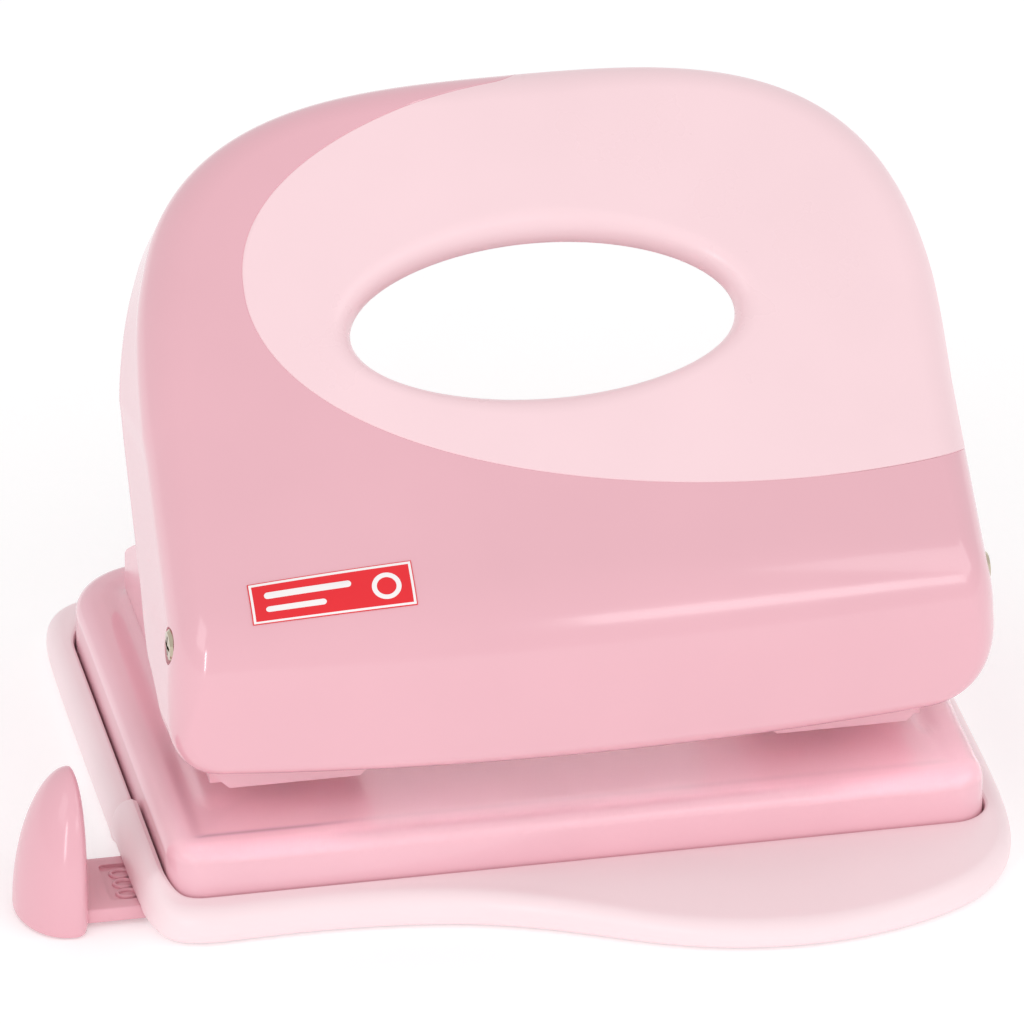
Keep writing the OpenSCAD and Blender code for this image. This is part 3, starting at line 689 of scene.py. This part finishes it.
def base_piece():
    def ring(o, z, r_min=0.8):
        rf, rb = max(5 - o, r_min), max(12 - o, r_min)
        pts = round_rect(-bw + o, -bf + o, bw - o, bb - o, rf, rb, 14, 60, 44)
        if callable(z):
            return [[x, y, z(x, y, o)] for x, y in pts]
        return [[x, y, z] for x, y in pts]

    def dish(x, y, o):
        # a shallow pressed channel that runs inside the rolled edge
        front = y < -10
        back = 1 - smooth(np.array((o - 6.3) / (7.5 if front else 1.6)))
        depth = 0.55 - 0.33 * float(smooth(np.array((x + 40) / 12))) * front
        return deck_z - depth * float(smooth(np.array((o - 3.4) / 2.6))) * float(back)

    rings = [ring(0.35, 2.0), ring(0.1, 2.12), ring(0, 2.4), ring(0, 4), ring(0, 7)]
    e = 2.6
    for t in np.linspace(0, pi / 2, 15):
        rings.append(ring(e * (1 - math.cos(t)), deck_z - e + e * math.sin(t)))
    for o in (3.0, 3.4, 3.8, 4.2, 4.7, 5.1, 5.5, 5.9, 6.3, 6.8, 7.3, 7.8, 8.6, 9.6, 10.8, 12, 13.2, 14.2):
        rings.append(ring(o, dish))
    rings.append(ring(16, deck_z))
    # underside
    lower = [ring(16, deck_z - base_t), ring(10, deck_z - base_t - 0.3), ring(e + 0.6, deck_z - base_t - 0.3)]
    ei = e - base_t
    for t in np.linspace(pi / 2, 0, 9):
        lower.append(ring(base_t + ei * (1 - math.cos(t)), deck_z - base_t - 0.3 - ei + ei * math.sin(t)))
    lower += [ring(base_t, 7), ring(base_t, 3), ring(base_t, 2.3), ring(base_t - 0.3, 2.0)]
    m1 = len(rings)
    allr = rings + lower
    n = len(rings[0])
    verts = [p for r in allr for p in r]
    faces = []
    for j in range(len(allr)):
        if j == m1 - 1:
            continue
        j2 = (j + 1) % len(allr)
        for i in range(n):
            k = (i + 1) % n
            faces.append([j * n + i, j * n + k, j2 * n + k, j2 * n + i])
    faces.append([(m1 - 1) * n + i for i in range(n)])
    faces.append([m1 * n + i for i in range(n)][::-1])
    obj = make("base_plate_shell", verts, faces, 34)
    V, F = [], []
    for s in (-1, 1):
        for y, r in ((0, 5.05), (24, 1.5), (46, 1.5)):
            v, f = rod((s * 40, y, 5), (s * 40, y, 17), r, 64)
            F += [[k + len(V) for k in g] for g in f]
            V += [list(p) for p in v]
    boolean(obj, make("cut", V, F))
    c = slab(round_rect(-bw - 2, -23.2, -bw + 6, 0.0, 0.6, 0.6, 6), 0.0, 5.6)
    boolean(obj, make("cut", *c))
    return obj


base = base_piece()
shade(base.data, 34)
dress(base, "base_paint")
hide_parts("base_plate")
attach(base, "base")

# ---------------------------------------------------------------- chip tray
tray_ctrl = [(-63.8, 30), (-63.8, 15), (-63.8, 0), (-63.8, -14), (-63.6, -22), (-61.4, -27.6),
             (-56, -29.6), (-48, -29.2), (-40, -29), (-32, -29.3), (-24, -30.2), (-16, -31.8),
             (-8, -34.6), (0, -38.4), (7, -42), (15, -45), (24, -46.6), (33, -46.7), (42, -45),
             (50, -42), (56, -38.2), (60.6, -32.6), (63, -25.6), (63.9, -16), (64, -4), (63.8, 14),
             (63.6, 32), (63.5, 50), (63.3, 60), (61, 66.6), (54, 69.5), (36, 69.7), (18, 69.7),
             (0, 69.7), (-18, 69.7), (-36, 69.7), (-54, 69.5), (-61, 66.6), (-63.4, 60), (-63.7, 46)]
rim_z = 6.5


def tray_piece():
    p = np.array(tray_ctrl, float)
    for _ in range(5):
        q = np.roll(p, -1, 0)
        p = np.stack([p * 0.75 + q * 0.25, p * 0.25 + q * 0.75], 1).reshape(-1, 2)
    seg = np.linalg.norm(np.roll(p, -1, 0) - p, axis=1)
    left = (p[:, 0] < -56) & (p[:, 1] > -30) & (p[:, 1] < 9)
    w = seg * np.where(left, 3.6, 1.0)
    cw = np.concatenate([[0], np.cumsum(w)])
    k = 560
    s = np.arange(k) / k * cw[-1]
    pc = np.concatenate([p, p[:1]])
    o = np.stack([np.interp(s, cw, pc[:, 0]), np.interp(s, cw, pc[:, 1])], 1)
    hw, yf, yb = bw + 0.3, -bf - 0.3, bb + 0.3
    r = np.where(o[:, 1] < 20, 5.3, 12.3)
    q = np.stack([np.clip(o[:, 0], -hw + r, hw - r), np.clip(o[:, 1], yf + r, yb - r)], 1)
    d = o - q
    l = np.maximum(np.linalg.norm(d, axis=1), 1e-3)
    inner = q + d / l[:, None] * r[:, None]
    d = o - inner
    wd = np.linalg.norm(d, axis=1)
    un = d / np.maximum(wd, 1e-3)[:, None]
    # height of the rim: a raised sleeve over the guide on the left, a rounded cap behind it
    y = o[:, 1]
    onleft = o[:, 0] < -56
    hump = np.where(y > -20, 1.0, smooth((y + 29) / 9))
    hump = np.where(y > 0.6, np.sqrt(np.clip(1 - ((y - 0.6) / 2.0) ** 2, 0, 1)), hump) * onleft
    cap = np.where((y >= 2.6) & (y < 6.6) & onleft, 0.42 + 0.58 * np.sqrt(np.clip(1 - ((6.6 - y) / 4.0) ** 2, 0, 1)), 1.0)
    dip = np.where((y > 0.6) & (y < 2.6) & onleft, 1 - 0.58 * smooth((y - 1.6) / 1.0), 1.0)
    zt = (rim_z - 0.2 - 0.09 * np.maximum(wd - 4, 0)) * (1 - 0.35 * (1 - np.minimum(cap, dip))) + 2.4 * hump
    zi = (rim_z - 0.3) * np.minimum(cap, dip) + 2.2 * hump
    e = np.minimum(3.1, wd * 0.8)
    rings = []
    # underside, then the outer bullnose from the foot to the crown, then the slope to the base
    rings.append(np.concatenate([inner + un * 0.0, np.zeros((k, 1))], 1))
    for t in np.linspace(-90, 90, 19):
        c, sn = math.cos(math.radians(t)), math.sin(math.radians(t))
        rr = wd - e + e * np.sign(c) * abs(c) ** 0.9
        z = zt / 2 + zt / 2 * sn
        rings.append(np.concatenate([inner + un * rr[:, None], z[:, None]], 1))
    span_in = wd - e - 0.5
    for f in (0.25, 0.5, 0.75, 0.93, 1.0):
        rr = 0.5 + span_in * (1 - f)
        crown = 0.35 * np.sin(pi * min(f, 1.0)) * np.clip(span_in / 8, 0, 1)
        z = zt + (zi + 0.12 - zt) * smooth(np.array(f)) + crown
        rings.append(np.concatenate([inner + un * rr[:, None], z[:, None]], 1))
    rings.append(np.concatenate([inner + un * 0.15, (zi - 0.05)[:, None]], 1))
    rings.append(np.concatenate([inner, (zi - 0.4)[:, None]], 1))
    rings.append(np.concatenate([inner, np.full((k, 1), 2.2)], 1))
    rings.append(np.concatenate([inner - un * 0.6, np.full((k, 1), 1.6)], 1))
    v, f = closed_rings([list(r) for r in rings])
    obj = make("chip_tray_body", v, f, 40)
    boolean(obj, make("add", *slab(round_rect(-59, -12.3 - 9.2, 48, -12.3 + 9.2, 1, 1, 6), 0.4, 4.6, 0.3)), "UNION")
    boolean(obj, make("cut", *slab(round_rect(-70, -12.3 - 7.7, 46, -12.3 + 7.7, 0.5, 0.5, 6), 0.6, 3.2)))
    boolean(obj, make("cut", *slab(round_rect(-70, -12.3 - 5.5, 46, -12.3 + 5.5, 0.5, 0.5, 6), -1, 2.0)))
    return obj


tray = tray_piece()
shade(tray.data, 40)
dress(tray, "tray_plastic")
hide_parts("chip_tray")
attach(tray, "tray")

# ---------------------------------------------------------------- paper guide
ch_y, rail_w, stop_c, stop_h = -12.3, 15.0, -12.8, 22.4


def guide_piece():
    rings = []
    zs = np.concatenate([[0.3, 0.5, 1.0], np.linspace(1.6, 18, 22), stop_h - 4.2 * (1 - np.sin(np.linspace(0.05, pi / 2, 18)))])
    for z in np.maximum.accumulate(zs):
        s = min(z / stop_h, 0.9995)
        f = 1 - s * s
        h = 9.8 * f ** 0.5
        xo = -72.4 - 8.3 * f ** 0.6
        xi = -72.3 + 1.8 * (1 - s ** 5) ** 0.5
        xe = -73.6 + 1.2 * s
        foot = 0.25 if z < 0.45 else (0.08 if z < 0.9 else 0.0)
        ring = []
        for i in range(48):
            a = math.radians(-90 + 180 * i / 48)
            ring.append([xe - (xe - xo - foot) * math.cos(a), stop_c + (h - foot) * math.sin(a), z])
        for i in range(40):
            a = math.radians(90 - 180 * i / 40)
            ring.append([xe + (xi - xe - foot) * max(math.cos(a), 0) ** 0.6, stop_c + (h - foot) * math.sin(a), z])
        rings.append(ring)
    v, f = closed_rings(rings)
    fin = make("paper_guide_body", v, f, 40)
    rail = make("add", *slab(round_rect(-73.5, ch_y - rail_w / 2, 36, ch_y + rail_w / 2, 1.0, 1.0, 8, 40, 1), 0.8, 3.0, 0.3))
    boolean(fin, rail, "UNION")
    cut = make("cut", *slab(round_rect(-67.4, ch_y - 5.2, -59.4, ch_y + 5.2, 0.8, 0.8, 8), 2.5, 4.0))
    boolean(fin, cut)
    # three plain loops in the recess
    V, F = [], []
    for cy in (-2.9, 0.0, 2.9):
        na, nb = 40, 10
        base_i = len(V)
        for i in range(na):
            a = 2 * pi * i / na
            c = np.array([-64.5 + 1.45 * math.cos(a), ch_y + cy + 1.05 * math.sin(a), 2.55])
            nrm = np.array([math.cos(a) * 1.05, math.sin(a) * 1.45, 0])
            nrm /= np.linalg.norm(nrm)
            for j in range(nb):
                b = 2 * pi * j / nb
                V.append(list(c + nrm * 0.34 * math.cos(b) + np.array([0, 0, 0.34 * math.sin(b)])))
        for i in range(na):
            for j in range(nb):
                i2, j2 = (i + 1) % na, (j + 1) % nb
                F.append([base_i + i * nb + j, base_i + i2 * nb + j, base_i + i2 * nb + j2, base_i + i * nb + j2])
    loops = make("loops", V, F, 60)
    boolean(fin, loops, "UNION")
    return fin


guide = guide_piece()
shade(guide.data, 42)
dress(guide, "guide_plastic")
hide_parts("paper_guide")
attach(guide, "guide")


# ---------------------------------------------------------------- return springs
def spring(name, node, x, body):
    arm_z, fr_t, clip_z = 18.0, 1.5, 29.4
    r, w, turns = 3.45, 0.3, 5
    z0, z1 = arm_z + fr_t + w + 0.02, clip_z - w - 0.02
    n = 44 * turns
    rings = []
    for i in range(n + 1):
        s = i / n
        f = s * s / 0.255 if s < 0.15 else (1 - (1 - s) ** 2 / 0.255 if s > 0.85 else (s - 0.075) / 0.85)
        a = 2 * pi * turns * s
        z = z0 + (z1 - z0) * f
        rings.append([[x + (r + w * math.cos(b)) * math.cos(a), (r + w * math.cos(b)) * math.sin(a), z + w * math.sin(b)]
                      for b in np.linspace(0, 2 * pi, 12, endpoint=False)])
    obj = make(name, *closed_rings(rings), 50)
    dress(obj, "spring_steel")
    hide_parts(node)
    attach(obj, body)
    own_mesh(obj)


node_body = {n: b for b, ns in frame["record"]["behaviour"]["bodies"].items() for n in ns}
spring("return_spring_left_coil", "return_spring_left", -40, node_body["return_spring_left"])
spring("return_spring_right_coil", "return_spring_right", 40, node_body["return_spring_right"])

# ---------------------------------------------------------------- CAD nodes that stay
keep = {
    "frame_left": ("frame_paint", 0.35), "frame_right": ("frame_paint", 0.35), "frame_rivets": ("gear_steel", 0.12),
    "die_left": ("gear_steel", 0.1), "die_right": ("gear_steel", 0.1), "press_yoke": ("gear_steel", 0.2),
    "press_roller_left": ("gear_steel", 0.1), "press_roller_right": ("gear_steel", 0.1),
    "pivot_axle": ("pin_steel", 0.1), "axle_screw_left": ("screw_nickel", 0.12),
    "axle_screw_right": ("screw_nickel", 0.12), "axle_spacers": ("spacer_plastic", 0.15),
    "punch_pin_left": ("pin_steel", 0.1), "punch_pin_right": ("pin_steel", 0.1),
    "pin_clip_left": ("spring_steel", 0.08), "pin_clip_right": ("spring_steel", 0.08),
}
for name, (slot, bev) in keep.items():
    o = frame["nodes"][name]
    o.data.materials.clear()
    o.data.materials.append(mat[slot])
    for p in o.data.polygons:
        p.use_smooth = True
        p.material_index = 0
    m = o.modifiers.new("edges", "BEVEL")
    m.width = bev * 0.001
    m.segments = 3
    m.limit_method = "ANGLE"
    m.angle_limit = math.radians(38)
    m.harden_normals = True

# ---------------------------------------------------------------- floor, lights, camera
bm = bmesh.new()
bmesh.ops.create_grid(bm, x_segments=24, y_segments=24, size=6.0)
floor_mesh = bpy.data.meshes.new("floor")
bm.to_mesh(floor_mesh)
bm.free()
floor = bpy.data.objects.new("floor", floor_mesh)
scene.collection.objects.link(floor)


def floor_build(nt, b):
    n = noise(nt, 3.0, 2.0)
    r = ramp(nt, n.outputs["Fac"], [(0.3, (0.90, 0.90, 0.90)), (0.7, (0.92, 0.92, 0.92))])
    nt.links.new(r.outputs[0], b.inputs["Base Color"])
    b.inputs["Roughness"].default_value = 0.9
    b.inputs["Specular IOR Level"].default_value = 0.1
    b.inputs["Emission Color"].default_value = (1, 1, 1, 1)
    b.inputs["Emission Strength"].default_value = 0.22


floor_mesh.materials.append(node_material("floor", floor_build))

world = bpy.data.worlds.new("studio")
scene.world = world
world.use_nodes = True
bg = world.node_tree.nodes["Background"]
bg.inputs[0].default_value = (1, 1, 1, 1)
bg.inputs[1].default_value = 0.79


def area(name, loc, target, size_x, size_y, power, colour=(1, 1, 1), spread=None):
    l = bpy.data.lights.new(name, "AREA")
    l.shape = "RECTANGLE"
    l.size, l.size_y = size_x, size_y
    l.energy = power
    l.color = colour
    if spread:
        l.spread = math.radians(spread)
    o = bpy.data.objects.new(name, l)
    scene.collection.objects.link(o)
    o.location = loc
    o.rotation_euler = (Vector(target) - Vector(loc)).to_track_quat("-Z", "Y").to_euler()
    return o


aim = (0, -0.01, 0.04)
area("soft_front", (0.50, -1.12, 0.52), aim, 0.62, 0.20, 0.85)
area("side_left", (-0.97, -0.68, 0.92), aim, 0.8, 0.8, 2.0)
area("side_right", (0.97, -0.68, 0.92), aim, 0.8, 0.8, 2.0)
area("strip_left", (-0.62, -1.10, 0.34), aim, 0.075, 0.5, 1.6)

# two small lights that only the base plate and the frames receive
low = bpy.data.collections.new("low_parts")
low.objects.link(base)
for n in ("frame_left", "frame_right", "frame_rivets"):
    low.objects.link(frame["nodes"][n])
plate = bpy.data.collections.new("plate_only")
plate.objects.link(base)
fill = area("deck_fill", (0.05, -1.15, 0.24), (0, -0.02, 0.012), 1.3, 0.16, 0.5)
line = area("edge_line", (0.006, -0.024, 0.55), (0.006, -0.024, 0.0), 0.118, 0.040, 0.0027, spread=6)
soft = area("edge_soft", (0.006, -0.026, 0.55), (0.006, -0.026, 0.0), 0.118, 0.036, 0.0054, spread=6)
for l in (fill, line, soft):
    l.light_linking.receiver_collection = low
line.light_linking.blocker_collection = low
soft.light_linking.blocker_collection = plate

cam_data = bpy.data.cameras.new("camera")
cam = bpy.data.objects.new("camera", cam_data)
scene.collection.objects.link(cam)
R, U, D = (0.97967, -0.20062, 0.0), (0.0946, 0.4622, 0.8817), (0.1769, 0.8638, -0.4718)
cam.matrix_world = Matrix(((R[0], U[0], -D[0], -0.39200), (R[1], U[1], -D[1], -1.88849), (R[2], U[2], -D[2], 1.08157), (0, 0, 0, 1)))
cam_data.sensor_width = 36
cam_data.sensor_fit = "HORIZONTAL"
cam_data.lens = 36 * 15280 / 1024
cam_data.clip_start, cam_data.clip_end = 0.1, 20
scene.camera = cam
scene.view_settings.view_transform = "Standard"
scene.view_settings.look = "None"
scene.view_settings.exposure = 0
scene.view_settings.gamma = 1
